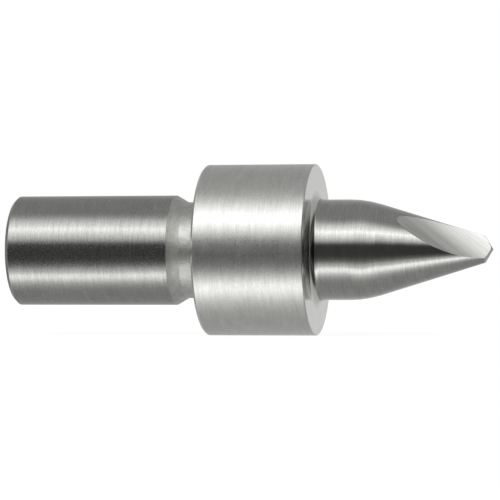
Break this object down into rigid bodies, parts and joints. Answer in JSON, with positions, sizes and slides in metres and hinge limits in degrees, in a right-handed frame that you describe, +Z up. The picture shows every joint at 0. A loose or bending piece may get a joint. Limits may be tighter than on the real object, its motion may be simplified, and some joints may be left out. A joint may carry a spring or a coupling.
{
  "type": "thermal friction drill",
  "caption": "Thermal friction drill: parallel chamfered shank, relieved neck, wide collar, and a slender smooth cone with ground hollows at its blunt tip.",
  "frame": {"origin": "centre of the flat end face of the shank", "axes": "+X along the tool's axis, from the shank towards the tip; +Z up; the ground hollows are one half turn apart about X"},
  "size_m": [0.0527, 0.0186, 0.0186],
  "materials": {
    "shank_steel": "ground, with fine lines round the shank",
    "ground_carbide": "satin ground, with fine lines round the collar and the point",
    "silver_braze": "dull, as it set"
  },
  "bodies": {
    "root": {"shank": "shank_steel", "carbide_head": "ground_carbide", "braze_joint": "silver_braze"}
  },
  "joints": []
}
